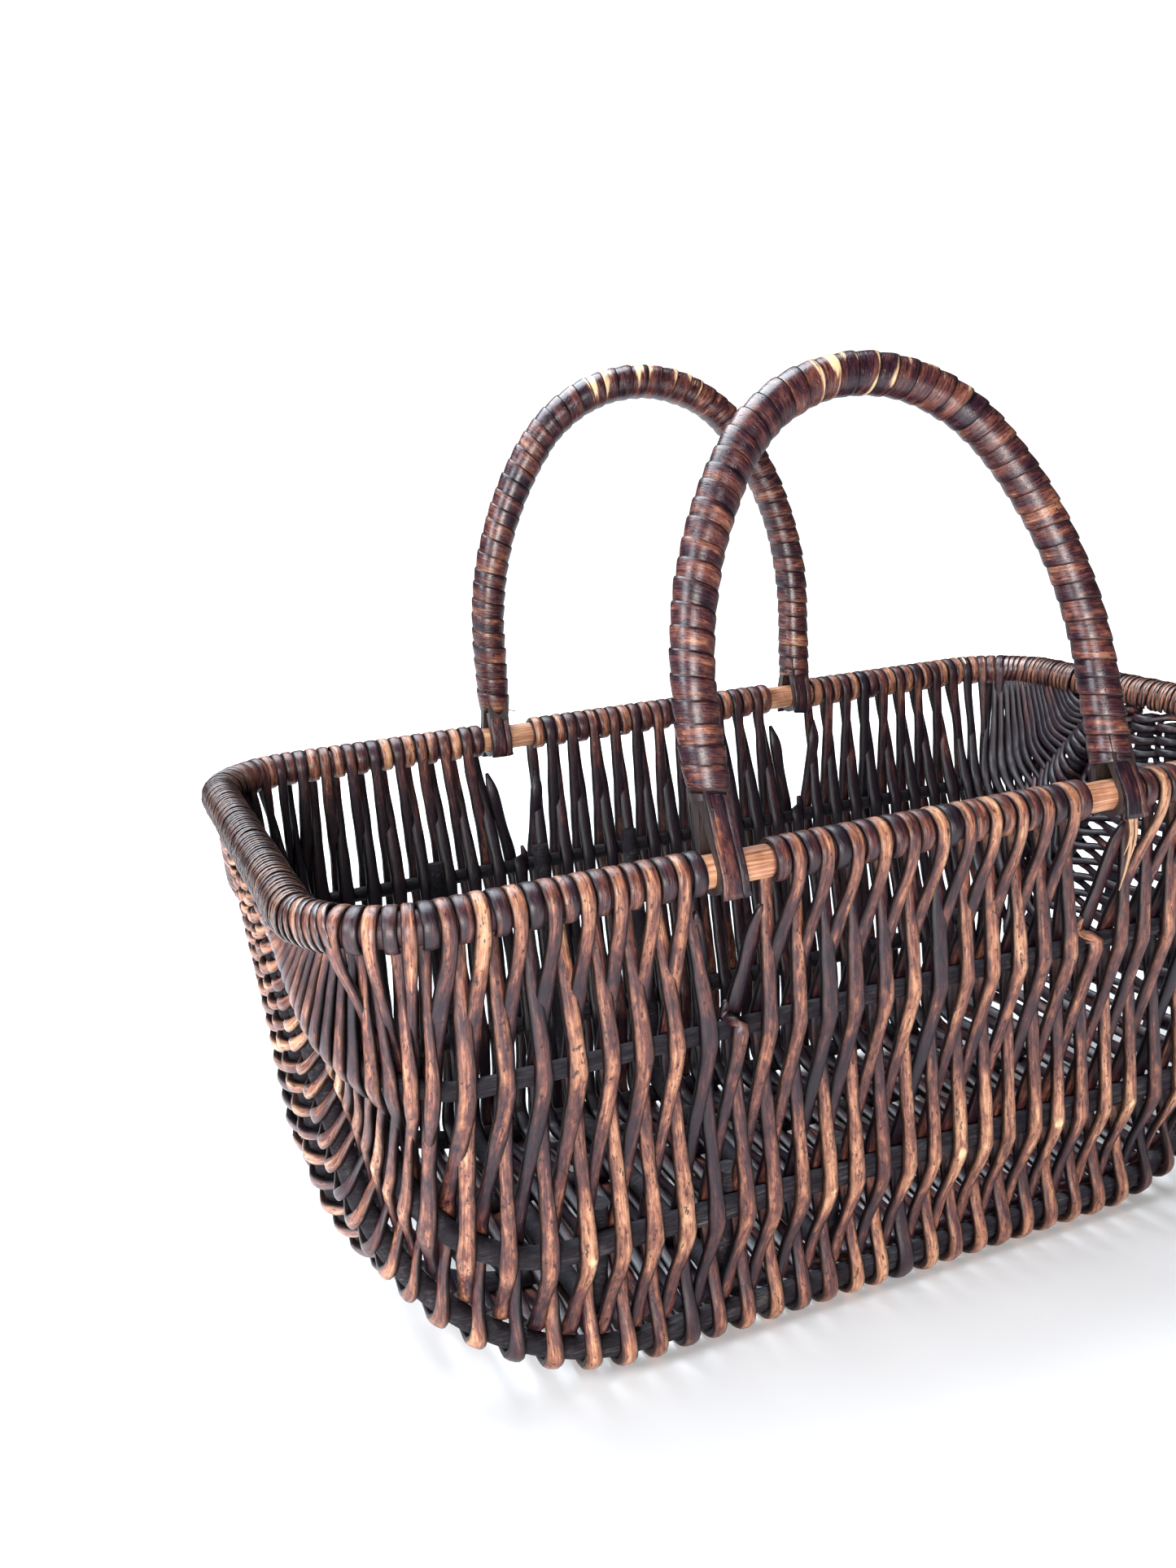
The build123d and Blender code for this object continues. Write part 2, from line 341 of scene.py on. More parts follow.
def new_material(name):
    """An empty material with its shader and tree."""
    material = bpy.data.materials.new(name)
    material.use_nodes = True
    tree = material.node_tree
    shader = next(n for n in tree.nodes if n.type == "BSDF_PRINCIPLED")
    return material, tree, shader


def attribute(tree, name):
    return node(tree, "ShaderNodeAttribute", attribute_name=name)


def stretched_noise(tree, vector, scale, detail=4.0, roughness=0.6):
    """Noise with its own scale on each axis."""
    mapping = node(tree, "ShaderNodeMapping", {"Vector": vector, "Scale": scale})
    made = node(
        tree,
        "ShaderNodeTexNoise",
        {"Vector": mapping.outputs[0], "Scale": 1.0, "Detail": detail, "Roughness": roughness},
    )
    return made.outputs["Fac"]


def ramp(tree, value, stops):
    """A colour ramp. Each stop is a position and a grey or a colour."""
    made = node(tree, "ShaderNodeValToRGB", {"Fac": value})
    elements = made.color_ramp.elements
    while len(elements) < len(stops):
        elements.new(0.5)
    for element, (position, colour) in zip(elements, stops):
        element.position = position
        if not isinstance(colour, tuple):
            colour = (colour, colour, colour)
        element.color = (*colour, 1.0)
    return made.outputs["Color"]


def math_node(tree, operation, a, b=0.0):
    made = tree.nodes.new("ShaderNodeMath")
    made.operation = operation
    for socket, value in zip(made.inputs, (a, b)):
        if isinstance(value, bpy.types.NodeSocket):
            tree.links.new(value, socket)
        else:
            socket.default_value = value
    return made.outputs[0]


def centred(tree, noise, gain):
    """A noise moved to swing about zero, times a gain."""
    return math_node(tree, "MULTIPLY", math_node(tree, "SUBTRACT", noise, 0.5), gain)


def weighted(tree, a, a_share, b, b_share):
    """The sum of two values, each times its share."""
    a_part = math_node(tree, "MULTIPLY", a, a_share)
    b_part = math_node(tree, "MULTIPLY", b, b_share)
    return math_node(tree, "ADD", a_part, b_part)


def mix(tree, factor, a, b, blend="MIX"):
    """Two colours mixed by a factor."""
    made = tree.nodes.new("ShaderNodeMix")
    made.data_type = "RGBA"
    made.blend_type = blend
    for index, value in ((0, factor), (6, a), (7, b)):
        socket = made.inputs[index]
        if isinstance(value, bpy.types.NodeSocket):
            tree.links.new(value, socket)
        elif index:
            socket.default_value = (*value, 1.0)
        else:
            socket.default_value = value
    return made.outputs[2]


def join_surface(tree, shader, colour, rough, height, strength, distance):
    """Joins a colour, a roughness and a relief to the shader."""
    tree.links.new(colour, shader.inputs["Base Color"])
    tree.links.new(rough, shader.inputs["Roughness"])
    bump = node(tree, "ShaderNodeBump", {"Height": height, "Strength": strength, "Distance": distance})
    tree.links.new(bump.outputs[0], shader.inputs["Normal"])


DARK = (0.009, 0.0032, 0.0085)
MAHOGANY = (0.035, 0.010, 0.015)
BROWN = (0.122, 0.039, 0.029)
COPPER = (0.34, 0.14, 0.078)
TAN = (0.62, 0.35, 0.20)
PALE = (0.80, 0.56, 0.32)


def stained_willow(name, wear_gain=1.0, darkness=0.0, gloss=0.34, coat=0.12):
    """Dark-stained willow: streaked along its grain, rubbed pale at its bends; painted shade darkens its
    flanks (partly stain pooled there) and inward faces, and, mixed with real stain, the stretches where it
    passes inside.
    """
    material, tree, shader = new_material(name)
    grain = attribute(tree, "grain").outputs["Vector"]
    tone = attribute(tree, "tone").outputs["Fac"]
    face = attribute(tree, "face").outputs["Fac"]
    wear = attribute(tree, "wear").outputs["Fac"]
    stain_and_shade = attribute(tree, "stain_and_shade").outputs["Fac"]
    streaks = stretched_noise(tree, grain, (45, 1400, 1400), 7, 0.7)
    mottle = stretched_noise(tree, grain, (130, 480, 480), 5, 0.65)
    blotches = stretched_noise(tree, grain, (22, 150, 150), 3, 0.55)
    specks = stretched_noise(tree, grain, (330, 900, 900), 2, 0.5)
    level = tone
    for noise, gain in ((blotches, 1.35), (streaks, 1.0), (mottle, 1.1)):
        level = math_node(tree, "ADD", level, centred(tree, noise, gain))
    level = math_node(tree, "SUBTRACT", level, darkness)
    # darker where the stain value is high: real stain mixed with painted shade
    level = math_node(tree, "SUBTRACT", level, stain_and_shade)
    # painted shade: each rod's inward face is darker
    inner = attribute(tree, "inner").outputs["Fac"]
    level = math_node(tree, "SUBTRACT", level, math_node(tree, "MULTIPLY", inner, 0.3))
    colour = ramp(tree, level, [(0.0, DARK), (0.22, MAHOGANY), (0.45, BROWN), (0.68, COPPER), (0.95, TAN)])
    # painted shade towards each rod's flanks, where it meets its neighbours, partly stain pooled at the
    # edges
    flank = ramp(tree, face, [(0.0, 0.06), (0.45, 0.12), (0.80, 0.6), (0.97, 1.0)])
    colour = mix(tree, 1.0, colour, flank, "MULTIPLY")
    dots = ramp(tree, specks, [(0.60, 0.0), (0.68, 0.85)])
    colour = mix(tree, dots, colour, DARK)
    knots = stretched_noise(tree, grain, (70, 420, 420), 4, 0.7)
    knots = ramp(tree, knots, [(0.60, 0.0), (0.70, 0.7)])
    colour = mix(tree, knots, colour, DARK)
    rubbed = math_node(tree, "MULTIPLY", wear, wear_gain)
    rubbed = math_node(tree, "SUBTRACT", math_node(tree, "ADD", rubbed, blotches), 1.0)
    rubbed = ramp(tree, rubbed, [(0.15, 0.0), (0.22, 0.85)])
    colour = mix(tree, rubbed, colour, PALE)
    rough = ramp(tree, streaks, [(0.25, gloss - 0.06), (0.75, gloss + 0.2)])
    height = math_node(tree, "ADD", math_node(tree, "MULTIPLY", streaks, 0.6), blotches)
    height = math_node(tree, "SUBTRACT", height, math_node(tree, "MULTIPLY", dots, 0.3))
    join_surface(tree, shader, colour, rough, height, 0.55, 0.0006)
    shader.inputs["Coat Weight"].default_value = coat
    shader.inputs["Coat Roughness"].default_value = 0.28
    sheen = ramp(tree, face, [(0.3, 0.1), (0.9, 0.5)])
    tree.links.new(sheen, shader.inputs["Specular IOR Level"])
    return material


def rib_bark(name):
    """Near-black bark of the ribs and stakes: fibrous along the rod, matte."""
    material, tree, shader = new_material(name)
    place = node(tree, "ShaderNodeTexCoord").outputs["Object"]
    fibres = stretched_noise(tree, place, (90, 900, 900), 6, 0.7)
    patches = stretched_noise(tree, place, (35, 90, 90), 4, 0.6)
    level = weighted(tree, fibres, 0.6, patches, 0.5)
    stops = [
        (0.42, (0.004, 0.0022, 0.005)),
        (0.55, (0.011, 0.0085, 0.013)),
        (0.64, (0.032, 0.029, 0.034)),
        (0.74, (0.11, 0.095, 0.085)),
    ]
    colour = ramp(tree, level, stops)
    rough = ramp(tree, patches, [(0.3, 0.55), (0.7, 0.8)])
    join_surface(tree, shader, colour, rough, level, 0.8, 0.0012)
    shader.inputs["Specular IOR Level"].default_value = 0.25
    return material


def peeled_willow(name):
    """Pale peeled wood of the rim rod where its binding stops: long grain, stain at the edges."""
    material, tree, shader = new_material(name)
    place = node(tree, "ShaderNodeTexCoord").outputs["Object"]
    streaks = stretched_noise(tree, place, (40, 1100, 1100), 5, 0.65)
    patches = stretched_noise(tree, place, (60, 60, 60), 3, 0.5)
    level = weighted(tree, streaks, 0.6, patches, 0.5)
    colour = ramp(tree, level, [(0.38, (0.10, 0.04, 0.018)), (0.52, COPPER), (0.66, TAN), (0.85, PALE)])
    along = node(tree, "ShaderNodeSeparateXYZ", {"Vector": place}).outputs["X"]
    off_foot = math_node(tree, "SUBTRACT", math_node(tree, "ABSOLUTE", along), (BARE_FROM + BARE_TO) / 2)
    reach = math_node(tree, "DIVIDE", math_node(tree, "ABSOLUTE", off_foot), (BARE_TO - BARE_FROM) / 2)
    stained = ramp(tree, math_node(tree, "MULTIPLY", reach, 0.5), [(0.47, 0.0), (0.52, 1.0)])
    colour = mix(tree, stained, colour, MAHOGANY)
    rough = ramp(tree, streaks, [(0.3, 0.38), (0.7, 0.6)])
    join_surface(tree, shader, colour, rough, streaks, 0.4, 0.0005)
    return material


def split_rod(name):
    """The handle's rod ends: dark stained outside, paler wood where the rod is split and cut."""
    material, tree, shader = new_material(name)
    place = node(tree, "ShaderNodeTexCoord").outputs["Object"]
    normal = node(tree, "ShaderNodeNewGeometry").outputs["Normal"]
    facing = node(tree, "ShaderNodeSeparateXYZ", {"Vector": normal}).outputs["X"]
    cut = math_node(tree, "ABSOLUTE", facing)
    fibres = stretched_noise(tree, place, (700, 700, 45), 5, 0.7)
    patches = stretched_noise(tree, place, (90, 90, 60), 4, 0.6)
    dark_stops = [(0.35, (0.008, 0.006, 0.007)), (0.6, (0.035, 0.02, 0.016)), (0.75, (0.11, 0.05, 0.03))]
    dark = ramp(tree, fibres, dark_stops)
    pale = ramp(tree, fibres, [(0.3, (0.12, 0.05, 0.02)), (0.6, COPPER), (0.8, PALE)])
    split = math_node(tree, "ADD", cut, math_node(tree, "SUBTRACT", patches, 0.5))
    split = ramp(tree, split, [(1.02, 0.0), (1.12, 0.7)])
    colour = mix(tree, split, dark, pale)
    rough = ramp(tree, patches, [(0.3, 0.3), (0.7, 0.55)])
    join_surface(tree, shader, colour, rough, fibres, 0.5, 0.0006)
    shader.inputs["Coat Weight"].default_value = 0.2
    shader.inputs["Coat Roughness"].default_value = 0.3
    return material


WEAVE = stained_willow("weave_willow")
BINDING = stained_willow("binding_willow", wear_gain=0.9, gloss=0.3, coat=1.0)
SKEIN = stained_willow("skein_willow", darkness=0.07, gloss=0.22)
STRAP = stained_willow("strap_willow", darkness=0.12, gloss=0.3)
STRAW = stained_willow("torn_straw", darkness=-0.3, gloss=0.5)
BARK = rib_bark("dark_bark")
PEELED = peeled_willow("peeled_willow")
SPLIT = split_rod("split_rod")


def dress_node(name, material):
    """Gives a CAD node its material."""
    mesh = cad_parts[name].data
    mesh.materials.clear()
    mesh.materials.append(material)


for wall in ("front", "back"):
    for rib, *_ in RIBS:
        dress_node(f"{wall}_{rib}", BARK)
    dress_node(f"{wall}_handle_rod", SPLIT)
for stake in ("left_stake", "middle_left_stake", "middle_stake"):
    dress_node(stake, BARK)
dress_node("rim_hoop", PEELED)


# ---- weaving rods -------------------------------------------------------------------------


def is_filler(j):
    """Whether wall rod j is worked in under a handle's foot, with no wrap of its own on the rim."""
    return INNER_RODS < j <= INNER_RODS + FILLERS


def rod_stations(count):
    """For each rod from the middle outwards: its distance from the middle along the rim and each rib."""
    before_foot = BARE_FROM - BAND_WIDTH / 2
    after_foot = BARE_TO + BAND_WIDTH / 2
    wall_end = RIM_X - RIM_CORNER - BAND_WIDTH / 2
    marks = [0, INNER_RODS, INNER_RODS + 1, INNER_RODS + FILLERS, INNER_RODS + FILLERS + 1, WALL_RODS]
    rim_marks = [0.0, before_foot, before_foot + 1 * MM, after_foot - 1 * MM, after_foot, wall_end]
    stations = []
    for j in range(WALL_RODS + 1):
        row = [float(np.interp(j, marks, rim_marks))]
        for rib in CROSSED[1:5]:
            row.append(wall_end * j / WALL_RODS * (1 + rib.growth * (j / WALL_RODS) ** 3))
        stations.append(row)
    ends = [rib.track.half - 7 * MM for rib in CROSSED[1:5]]
    last = stations[-1]
    rim_corner = last[0] + CORNER_PITCH * CORNER_WRAPS
    rim_end = CROSSED[0].track.half - 78 * MM
    for k in range(1, count + 1):
        if k <= CORNER_WRAPS:
            rim = last[0] + CORNER_PITCH * k
        else:
            rim = rim_corner - 6 * MM + (rim_end - rim_corner) * (k - CORNER_WRAPS) / (count - CORNER_WRAPS)
        share = (1 + END_CROWDING) * k / count - END_CROWDING * (k / count) ** 2
        stations.append([rim] + [start + (end - start) * share for start, end in zip(last[1:], ends)])
    return stations


def rim_directions(track, distance):
    """The rim's centre, its direction and its outward side, at a distance along one long side."""
    centre = track.point(distance)
    along = track.tangent(distance)
    outward = unit(np.cross(along, UP))
    if np.dot(outward, centre * (1, 1, 0)) <= 0:
        outward = -outward
    return centre, along, outward


def rim_wrap(track, distance, leg_side, band, tilt):
    """A band over the rim: tucked under on one side, and leaving as a leg on leg_side (1 is outside)."""
    centre, along, outward = rim_directions(track, distance)
    leg = outward * leg_side
    radius = RIM_ROD + 0.2 * MM + BAND_THICKNESS / 2
    rows = []
    for step in range(BAND_ROWS):
        angle = math.radians(BAND_FROM - BAND_STEP * step)
        arm = leg * math.cos(angle) + UP * math.sin(angle)
        place = centre + arm * radius + along * tilt * (angle / math.pi - 0.5)
        thickness = BAND_THICKNESS * (0.75 if step == 0 else 1.0)
        worn = 0.52 if 30 < math.degrees(angle) < 150 else 0.35
        # the last value, below zero, makes the band lighter than the rods: painted light on the rim, where
        # the lamp above falls
        rows.append([*place, *(arm * leg_side), band, thickness, worn, -0.06])
    return rows


def crossing(i, centres, sign, scale):
    """Where a rod bends over or under rib i."""
    here = centres[i]
    strand = unit(centres[i + 1] - centres[i - 1])
    rib = scale["tangents"][i]
    normal = unit(np.cross(rib, strand))
    inside = np.array([0.55 * here[0], 0.0, 0.2])
    if np.dot(normal, here - inside) < 0:
        normal = -normal
    thickness = scale["thickness"]
    reach = CROSSED[i].radius + thickness / 2 + 0.1 * MM + rng.uniform(0, 0.25) * MM
    push = SIDEWAYS[CROSSED[i].name][0 if sign > 0 else 1]
    drift = push * scale["sideways"] + rng.gauss(0, 0.4) * MM
    place = here + normal * sign * reach + rib_axis(rib) * drift
    gap = min(np.linalg.norm(centres[i + 1] - here), np.linalg.norm(here - centres[i - 1]))
    flank = min(KNEE_LENGTH, 0.22 * gap)
    sink = normal * sign * 0.7 * MM * flank / KNEE_LENGTH
    return place, normal, strand * flank, sink


def rib_axis(tangent):
    """A rib's direction, pointed to +X."""
    return tangent if tangent[0] >= 0 else -tangent


def filler_start(j):
    """How far down from rim to upper rib a filler starts: the middle one lowest, so the gap is a V."""
    from_edge = min(j - INNER_RODS, INNER_RODS + FILLERS + 1 - j)
    return 0.24 + 0.56 * (from_edge - 1) + rng.uniform(-0.04, 0.04)


def open_end(track, distance, beyond, start, width):
    """A rod's end with no wrap: tucked inside the wall, a share of the way from rim to rib."""
    centre, along, outward = rim_directions(track, distance)
    lean = unit(beyond - centre)
    place = centre + (beyond - centre) * start
    tip = width * (0.3 if start else 1.0)
    return [
        # the last value, 0.1, darkens the tucked end a little: stain mixed with painted shade inside the
        # wall
        [*(place - outward * 3 * MM), *outward, tip, 2.4 * MM, 0, 0.1],
        [*(place - outward * 4.5 * MM + lean * 8 * MM), *outward, width * 0.95, 3.4 * MM, 0, 0.1],
    ]


def rod_gauge(stations, j):
    """How much rod j narrows where rods crowd, and how wide it stays between two ribs."""
    spacing = min(abs(stations[j][i] - stations[j - 1][i]) for i in (1, 2, 3)) if j else 8 * MM
    narrow = min(1.0, 0.5 + 0.5 * spacing / ROD_PITCH)
    return narrow, min(PINCH_WIDTH, max(spacing, LEAST_PINCH))


def rod_ends(stations, hand, j, wrapped, centres, first_sign, pinch):
    """The rows at rod j's front and back ends: a band round the rim, or an open end below it."""
    front, back = CROSSED[0].track, CROSSED[-1].track
    distance = hand * stations[j][0]
    tilt = rng.uniform(-1.2, 0.6) * MM * hand
    if not wrapped:
        start = filler_start(j) if is_filler(j) else 0.0
        opening = open_end(front, distance, centres[1], start, pinch)
        return opening, open_end(back, distance, centres[-2], start, pinch)
    band = BAND_WIDTH
    if j and not is_filler(j - 1):
        band = min(band, abs(stations[j][0] - stations[j - 1][0]) * 0.97)
    opening = rim_wrap(front, distance, first_sign, band * rng.uniform(0.96, 1.0), tilt)
    return opening, rim_wrap(back, distance, -first_sign, band * rng.uniform(0.96, 1.0), tilt)


def weaving_rod(stations, hand, j, wrapped):
    """One rod's rows, from the front rim under the floor to the back rim."""
    distances = stations[j] + stations[j][::-1]
    centres = [crossed.track.point(hand * distance) for crossed, distance in zip(CROSSED, distances)]
    tangents = [crossed.track.tangent(hand * distance) for crossed, distance in zip(CROSSED, distances)]
    narrow, pinch = rod_gauge(stations, j)
    own_width = rng.uniform(0.92, 1.06)
    full = ROD_WIDTH * own_width * narrow
    pinch *= own_width
    thick = ROD_THICKNESS * narrow**0.5
    scale = {"tangents": tangents, "thickness": thick, "sideways": narrow}
    first_sign = 1 if j % 2 == 0 else -1
    rows, closing = rod_ends(stations, hand, j, wrapped, centres, first_sign, pinch)
    closing.reverse()
    for i in range(1, 9):
        sign = first_sign * (-1) ** i
        place, normal, flank, sink = crossing(i, centres, sign, scale)
        wear = 0.62 if (sign > 0 and i in (2, 7)) else 0.3
        # stain mixed with painted shade: darker where the rod passes inside a rib and at the upper ribs,
        # lighter where it passes outside
        stain_and_shade = (-0.12 if sign > 0 else 0.16) + (0.12 if i in (1, 8) else 0.0)
        before = place - flank - sink
        after = place + flank - sink
        middle = (np.array(rows[-1][:3]) + before) / 2
        # stain mixed with painted shade: the stretch into a crossing is darker when it leads inside
        rows.append([*middle, *normal, pinch, thick * 0.95, 0.1, 0.1 if sign > 0 else 0.2])
        rows.append([*before, *normal, full * 0.97, thick, wear * 0.8, stain_and_shade])
        rows.append([*place, *normal, full, thick, wear, stain_and_shade])
        rows.append([*after, *normal, full * 0.97, thick, wear * 0.8, stain_and_shade])
    middle = (np.array(rows[-1][:3]) + np.array(closing[0][:3])) / 2
    rows.append([*middle, *closing[0][3:6], pinch, thick * 0.95, 0.1, 0.12])
    return rows + closing


def add_rod(bundle, rows, tone):
    """Sweeps one rod's rows into a bundle, with its small natural wobble."""
    line = smooth(rows, SWEEP_STEP)
    phase = rng.uniform(0, TAU)
    turn = np.arange(len(line)) * SWEEP_STEP / WOBBLE_LENGTH * TAU
    swell = 1 + 0.05 * np.sin(turn * 0.63 + phase) + 0.03 * np.sin(turn * 1.7 + 2 * phase)
    line[:, 6] *= swell
    line[:, 7] *= 2 - swell
    bundle.add_line(line, tone, ring_profile())


STATIONS = rod_stations(END_RODS)
WALLS = ["front_wall_weave", "back_wall_weave", "floor_weave"]


def rod_tone():
    """How light one rod's stain came out: mostly alike, with a near-black one now and then."""
    return rng.uniform(0.16, 0.24) if rng.random() < 0.08 else rng.gauss(0.50, 0.05)


def wall_rods():
    """The rods of the long walls, in three groups along the basket."""
    groups = {"left_wall_rods": Bundle(), "middle_wall_rods": Bundle(), "right_wall_rods": Bundle()}
    for j in range(WALL_RODS + 1):
        for hand in (-1, 1) if j else (1,):
            side = "middle" if j <= INNER_RODS else ("left" if hand < 0 else "right")
            rows = weaving_rod(STATIONS, hand, j, not is_filler(j))
            add_rod(groups[f"{side}_wall_rods"], rows, rod_tone())
    for name, bundle in groups.items():
        part = name.split("_")[0]
        bindings = [f"{wall}_{part}_binding" for wall in ("front", "back")]
        bundle.build(name, WEAVE, "basket", "willow_weave", *WALLS, *bindings)


def end_rods():
    """The rods of both ends, which run round the end wall under its ribs' risen ends."""
    for hand, part in ((-1, "left"), (1, "right")):
        bundle = Bundle()
        for k in range(1, END_RODS + 1):
            rows = weaving_rod(STATIONS, hand, WALL_RODS + k, k <= CORNER_WRAPS)
            add_rod(bundle, rows, rod_tone() - 0.05)
        bundle.build(f"{part}_end_rods", WEAVE, "basket", "willow_weave", f"{part}_end_weave")


def end_track(hand):
    """The rim's centre line round one end, with a stretch of both long sides."""
    inner_x = hand * (RIM_X - 100 * MM)
    corners = [(inner_x, -RIM_Y), (hand * RIM_X, -RIM_Y), (hand * RIM_X, RIM_Y), (inner_x, RIM_Y)]
    return Track(rounded_line([Vector((x, y, RIM_Z)) for x, y in corners], RIM_CORNER))


def end_turn(track, hand, distance):
    """One slanted turn round the rim's end, open below."""
    slant = (6.5 + rng.gauss(0, 1.4)) * MM
    radius = RIM_ROD + 1.75 * MM + rng.uniform(-0.25, 0.25) * MM
    width = END_TURN_WIDTH * rng.uniform(0.85, 1.15)
    centre = track.point(distance)
    along = track.tangent(distance)
    outward = unit(np.cross(along, UP))
    outward = outward if outward[0] * hand > 0 else -outward
    rows = []
    for step in range(END_TURN_STEPS + 1):
        angle = math.radians(END_TURN_FROM + END_TURN_SWEEP * step / END_TURN_STEPS)
        arm = outward * math.cos(angle) + UP * math.sin(angle)
        swing = math.sin(angle) ** 2 * 0.4 + (angle - math.pi / 2) / math.pi
        place = centre + arm * radius + along * slant * swing
        tipped = unit(arm + along * 0.3)
        end = 0.6 if step in (0, END_TURN_STEPS) else 1.0
        rows.append([*place, *tipped, width * end, END_TURN_THICKNESS * end, 0.4, 0.04])
    return rows


def end_turns():
    """The close turns that bind each end of the rim, lapped like shingles."""
    first = STATIONS[WALL_RODS + CORNER_WRAPS][0] + 5.0 * MM
    reach = CROSSED[0].track.half - first
    count = round(2 * reach / END_TURN_PITCH)
    for hand, part in ((-1, "left"), (1, "right")):
        bundle = Bundle()
        track = end_track(hand)
        for n in range(count + 1):
            distance = -reach + 2 * reach * n / count + rng.gauss(0, 0.35) * MM
            rows = end_turn(track, hand, distance)
            add_rod(bundle, rows, rng.gauss(0.52, 0.06))
        bundle.build(f"{part}_end_turns", BINDING, "basket", "rim_binding", f"{part}_end_binding")


wall_rods()
end_rods()
end_turns()


# ---- handles ------------------------------------------------------------------------------

FOOT_X = 106 * MM
LEG = 60 * MM
SIDE_RADIUS = 190 * MM
HANDLE_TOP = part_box("back_handle_wrapping")[1].z - RIM_Z
SKEIN_OUTER = (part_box("back_handle_wrapping")[1].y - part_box("back_handle_wrapping")[0].y) / 2
HANDLE_HEIGHT = HANDLE_TOP - SKEIN_OUTER
FRONT_LEAN = math.radians(16)
TURN_STEPS = 28

# how much of a leg the skein leaves bare: the front handle's left leg, and every other leg
FRONT_LEFT_BARE = 29 * MM
FOOT_BARE = 15 * MM

# the skein's cross-section: share of its breadth, height, then how much it faces out, which the material
# darkens as painted shade at the lapped edges, and how much it is worn there
SKEIN_THICKNESS = 2.0 * MM
SKEIN_OUTLINE = [
    (0.0, 0.30, 0.55, 0.2),
    (0.25, 0.52, 0.85, 0.45),
    (0.5, 0.74, 0.95, 0.49),
    (0.75, 0.92, 0.97, 0.49),
    (0.92, 0.99, 0.9, 0.52),
    (1.0, 0.86, 0.5, 0.4),
    (1.0, 0.25, 0.3, 0.0),
    (0.5, 0.05, 0.3, 0.0),
]


def handle_track():
    """A handle's centre line, upright in the XZ plane, from one foot to the other."""
    side_x = FOOT_X - SIDE_RADIUS
    rise = HANDLE_HEIGHT - LEG
    top_radius = (SIDE_RADIUS**2 - side_x**2 - rise**2) / (2 * (SIDE_RADIUS - rise))
    top_z = HANDLE_HEIGHT - top_radius
    joint_angle = math.atan2(top_z - LEG, -side_x)
    right = [Vector((FOOT_X, 0, h * MM)) for h in range(0, 60, 4)]
    right += [
        Vector((side_x + SIDE_RADIUS * math.cos(a), 0, LEG + SIDE_RADIUS * math.sin(a)))
        for a in np.linspace(0, joint_angle, 40)
    ]
    right += [
        Vector((top_radius * math.cos(a), 0, top_z + top_radius * math.sin(a)))
        for a in np.linspace(joint_angle, math.pi / 2, 50)[1:]
    ]
    left = [Vector((-p.x, 0, p.z)) for p in right[:-1]]
    return Track(left + right[::-1])


def on_basket(points, side, lean):
    """Points given on an upright handle, moved to where the handle stands on the rim."""
    points = np.asarray(points, dtype=float)
    turn = side * lean
    y = points[..., 1] * math.cos(turn) - points[..., 2] * math.sin(turn)
    z = points[..., 1] * math.sin(turn) + points[..., 2] * math.cos(turn)
    return np.stack([points[..., 0], y + side * RIM_Y, z + RIM_Z], axis=-1)


def skein_turns(start, stop):
    """Where each turn of the skein begins along the handle, unevenly spaced."""
    turns = [start]
    while turns[-1] < stop - 12 * MM:
        turns.append(turns[-1] + rng.uniform(7.4, 10.8) * MM)
    turns.append(stop)
    return turns


def skein_row(track, angle, begin, finish, lift):
    """The skein's cross-section at one angle round the handle, between two distances along it."""
    around = math.cos(angle), math.sin(angle)
    row = []
    for share, high, *_ in SKEIN_OUTLINE:
        distance = begin + (finish - begin) * share
        radius = SKEIN_OUTER - SKEIN_THICKNESS + SKEIN_THICKNESS * high * lift
        heading = track.tangent(distance)
        inward = np.array([heading[2], 0, -heading[0]])
        arm = np.array([0, 1, 0]) * around[0] + inward * around[1]
        row.append(track.point(distance) + radius * arm)
    return row


def handle_skein(wall, side, lean, left_start):
    """A flat skein wound round the handle, each turn lapping over the last."""
    track = handle_track()
    start = -track.half + left_start
    stop = track.half - FOOT_BARE
    turns = skein_turns(start, stop)
    count = len(turns) - 1
    tones = [rng.gauss(0.39, 0.06) for _ in range(2 * count + 2)]
    lifts = [rng.uniform(0.72, 1.0) for _ in range(count + 1)]
    edges = [rng.uniform(-0.45, 0.45) * MM for _ in range(4 * count + 4)]
    breadth, _, face, worn = np.array(SKEIN_OUTLINE).T
    ring, tone, wear = [], [], []
    for step in range(count * TURN_STEPS + 1):
        turn = step / TURN_STEPS
        begin = np.interp(turn, range(count + 1), turns) - 2.6 * MM
        ragged = np.interp(4 * turn, range(len(edges)), edges)
        finish = np.interp(turn + 1, range(count + 1), turns) + 0.2 * MM + ragged
        begin, finish = max(begin, start), min(max(finish, begin + 1 * MM), stop)
        lift = np.interp(turn, range(count + 1), lifts)
        row = skein_row(track, TAU * turn, begin, finish, lift)
        ring.append(row)
        tone.append(np.interp(2 * turn, range(len(tones)), tones))
        wear.append(worn * (0.75 + 0.45 * (row[2][2] / HANDLE_HEIGHT) ** 4))
    ring = on_basket(ring, side, lean)
    shape = ring.shape[:2]
    grain = np.zeros((*shape, 3))
    grain[:, :, 0] = np.arange(shape[0])[:, None] * TAU * SKEIN_OUTER / TURN_STEPS + side
    grain[:, :, 1] = breadth[None, :] * 10 * MM
    bundle = Bundle()
    bundle.add_rings(
        ring,
        grain,
        {
            "tone": np.repeat(np.array(tone)[:, None], shape[1], axis=1),
            "face": np.broadcast_to(face, shape),
            "wear": np.array(wear),
            "stain_and_shade": np.full(shape, 0.02),
            "inner": np.zeros(shape),
        },
    )
    bundle.build(f"{wall}_handle_skein", SKEIN, f"{wall}_handle", "handle_skein", f"{wall}_handle_wrapping")


